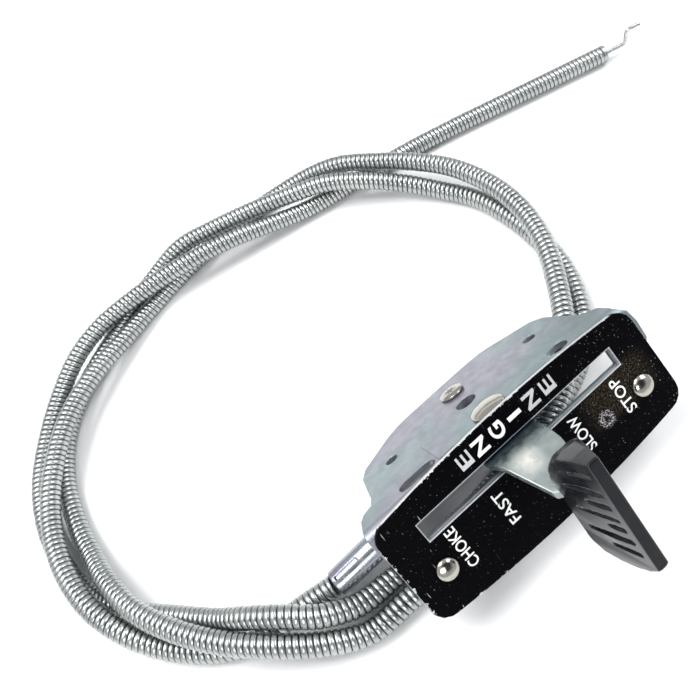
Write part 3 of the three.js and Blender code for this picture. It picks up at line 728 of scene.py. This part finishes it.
def evaluated_mesh(obj):
    """The object's mesh with its modifiers applied. The object itself goes."""
    depsgraph = bpy.context.evaluated_depsgraph_get()
    mesh = bpy.data.meshes.new_from_object(obj.evaluated_get(depsgraph))
    bpy.data.objects.remove(obj)
    return mesh


def paddle_blank():
    """A wedge rounded all over."""
    base = bmesh.new()
    rings = []
    for share in np.linspace(-1, 1, 7):
        ring = []
        for y, z in PADDLE_OUTLINE:
            zs, lo, hi = zip(*PADDLE_SIDES)
            left, right = np.interp(z, zs, lo), np.interp(z, zs, hi)
            # The heel and the toe are rounded across, most of all low down.
            low_down = max(0.15, min(1, (32 - z) / 12))
            y_in = y - math.copysign(1.5 * low_down * share**2, y + 3) * min(1, abs(y + 3) / 12)
            ring.append(base.verts.new(((left + right) / 2 + share * (right - left) / 2, y_in, z)))
        rings.append(ring)
    count = len(PADDLE_OUTLINE)
    for a, b in zip(rings, rings[1:]):
        for i in range(count):
            k = (i + 1) % count
            base.faces.new((a[i], a[k], b[k], b[i]))
    caps = [base.faces.new(rings[0]), base.faces.new(rings[-1])]
    bmesh.ops.triangulate(base, faces=caps)
    bmesh.ops.recalc_face_normals(base, faces=base.faces)
    shell = bpy.data.meshes.new("paddle_shell")
    base.to_mesh(shell)
    base.free()
    maker = bpy.data.objects.new("paddle_shell", shell)
    bpy.context.scene.collection.objects.link(maker)
    remesh = maker.modifiers.new("voxels", "REMESH")
    remesh.mode = "VOXEL"
    remesh.voxel_size = 0.25
    smooth = maker.modifiers.new("smooth", "SMOOTH")
    smooth.factor = 0.5
    smooth.iterations = 7
    return evaluated_mesh(maker)


def groove_depth(y, z):
    """How deep the deepest finger groove is at a place on the paddle's side."""
    here = Vector((y, z))
    depth = 0
    for start, long, wide in GROOVES:
        outer = Vector((start, GROOVE_TOP))
        run = Vector((-math.sin(GROOVE_LEAN), -math.cos(GROOVE_LEAN))) * long
        along = max(0, min(1, (here - outer).dot(run) / run.length_squared))
        off = (here - outer - run * along).length
        reach = wide * 0.62 * (0.6 + 0.4 * math.sin(math.pi * min(1, 0.15 + along * 0.85)))
        if off < reach:
            depth = max(depth, GROOVE_DEPTH * (1 - (off / reach) ** 2))
    return depth


def carved(mesh):
    """Finger grooves down both sides, a dished heel, and the whole set askew on the head."""
    carve = bmesh.new()
    carve.from_mesh(mesh)
    carve.normal_update()
    moves = []
    for v in carve.verts:
        shift = Vector((0, 0, 0))
        if abs(v.normal.x) > 0.6:
            shift.x = math.copysign(groove_depth(v.co.y, v.co.z), -v.normal.x)
        heel = (v.co.x / HEEL_HALF[0]) ** 2 + ((v.co.z - HEEL_AT) / HEEL_HALF[1]) ** 2
        if v.normal.y > 0.25 and v.co.y > 5 and heel < 1:
            shift.y = -HEEL_DEPTH * (1 - heel) ** 1.5
        moves.append(shift)
    for v, shift in zip(carve.verts, moves):
        place = v.co + shift
        v.co = HEAD @ Vector((place.x + ASKEW * (place.y - TOE), place.y, place.z))
    carve.to_mesh(mesh)
    carve.free()
    return mesh


paddle_shape = carved(paddle_blank())
paddle = add_mesh("thumb_paddle_moulding", paddle_shape, "lever", plastic_material(), 180)
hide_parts("lever_thumb_paddle")


# ---------------------------------------------------------------- lettering of the positions
def letters(text, width, height, bold):
    """Flat letters in a plain face, as wide and high as asked, centred on 0."""
    curve = bpy.data.curves.new(text, "FONT")
    curve.body = text
    curve.align_x = "CENTER"
    curve.offset = bold
    curve.extrude = 0.01
    curve.resolution_u = 6
    obj = bpy.data.objects.new(text, curve)
    bpy.context.scene.collection.objects.link(obj)
    mesh = evaluated_mesh(obj)
    co = np.zeros(len(mesh.vertices) * 3, np.float32)
    mesh.vertices.foreach_get("co", co)
    co = co.reshape(-1, 3)
    low, high = co.min(axis=0), co.max(axis=0)
    co = (co - (low + high) / 2) / (high - low) * np.array((width, height, 0.05))
    faces = [tuple(f.vertices) for f in mesh.polygons]
    bpy.data.meshes.remove(mesh)
    return co, faces


def printed(name, words, material):
    """Words on the face, each with its place, width, height and extra weight."""
    verts, faces = [], []
    for text, x, y, width, height, bold in words:
        co, own = letters(text, width, height, bold)
        start = len(verts)
        verts += [HEAD @ Vector((x - c[1], y + c[0], 0.045 + c[2])) for c in co.tolist()]
        faces += [tuple(i + start for i in f) for f in own]
    obj = add_piece(name, verts, faces, "head_and_conduit", material, 40)


white_ink = ink_material("white_ink", (0.82, 0.82, 0.80), (0.5, 0.5, 0.5))
grey_ink = ink_material("thin_ink", (0.5, 0.51, 0.52), (0.25, 0.25, 0.26))
for word, x, y, width in (
    ("choke", -26.4, -3.1, 11.6),
    ("fast", -12.1, -3.3, 9.4),
    ("slow", 14.1, -2.9, 10.2),
    ("stop", 28.3, -2.9, 10.0),
):
    printed("label_" + word, [(word.upper(), x, y, width, 3.0, 0.01)], white_ink)
printed(
    "label_engine",
    [
        ("N", -7.7, 12.7, 4.1, 4.0, 0.025),
        ("G", -2.1, 12.7, 4.1, 4.0, 0.025),
        ("I", 3.4, 12.7, 1.2, 4.0, 0.025),
    ],
    white_ink,
)
printed(
    "label_engine_thin",
    [
        ("E", -12.8, 12.7, 3.9, 3.8, 0.015),
        ("N", 9.0, 12.7, 4.1, 4.0, 0.025),
        ("E", 14.4, 12.7, 3.9, 3.8, 0.015),
    ],
    grey_ink,
)


# ---------------------------------------------------------------- floor and light
def floor_material():
    p = Paint("table_white", 0.0, 0.6)
    at = p.coords(False)
    p.set(Base_Color=p.mix(p.noise(at, 0.01, 2.0), (0.88, 0.88, 0.88), (0.9, 0.9, 0.9)))
    return p.material


floor_mesh = bpy.data.meshes.new("table")
floor_mesh.from_pydata([(-3, -3, 0), (3, -3, 0), (3, 3, 0), (-3, 3, 0)], [], [(0, 1, 2, 3)])
floor_mesh.materials.append(floor_material())
floor = bpy.data.objects.new("table", floor_mesh)
bpy.context.scene.collection.objects.link(floor)


def panel(name, at, aim, size, power, colour=(1, 1, 1)):
    light = bpy.data.lights.new(name, "AREA")
    light.shape = "RECTANGLE"
    light.size, light.size_y = size
    light.energy = power
    light.color = colour
    obj = bpy.data.objects.new(name, light)
    obj.matrix_world = aimed(at, aim)
    bpy.context.scene.collection.objects.link(obj)


panel("key", (-0.28, 0.34, 0.8), (0, 0.05, 0), (0.5, 0.5), 6.9)
panel("fill", (0.6, -0.1, 0.7), (0, 0.05, 0), (0.6, 0.4), 4.5, (0.97, 0.98, 1))
panel("front", (-0.35, -0.55, 0.5), (0, 0.05, 0), (0.4, 0.3), 2.5)

# How bright the room is, and where its darker patch lies and fades out.
ROOM_LIGHT = 0.77
DARK_TOWARDS = (0.05, -0.66, 0.75)
DARK_FROM, DARK_TO = 0.78, 0.95


def white_room():
    """A white surrounding with a darker patch on the side that the camera stands on."""
    world = bpy.data.worlds.new("room")
    world.use_nodes = True
    tree = world.node_tree
    sky = tree.nodes["Background"]
    sky.inputs[1].default_value = ROOM_LIGHT
    facing = tree.nodes.new("ShaderNodeVectorMath")
    facing.operation = "DOT_PRODUCT"
    facing.inputs[1].default_value = DARK_TOWARDS
    tree.links.new(tree.nodes.new("ShaderNodeTexCoord").outputs["Generated"], facing.inputs[0])
    shade = tree.nodes.new("ShaderNodeMapRange")
    shade.interpolation_type = "SMOOTHSTEP"
    shade.inputs[1].default_value, shade.inputs[2].default_value = DARK_FROM, DARK_TO
    tree.links.new(facing.outputs["Value"], shade.inputs[0])
    walls = tree.nodes.new("ShaderNodeMix")
    walls.data_type = "RGBA"
    walls.inputs[6].default_value = (0.93, 0.95, 0.97, 1)
    walls.inputs[7].default_value = (0.06, 0.065, 0.075, 1)
    tree.links.new(shade.outputs[0], walls.inputs[0])
    tree.links.new(walls.outputs[2], sky.inputs[0])
    return world


bpy.context.scene.world = white_room()
bpy.context.scene.view_settings.view_transform = "Standard"

bpy.context.view_layer.update()
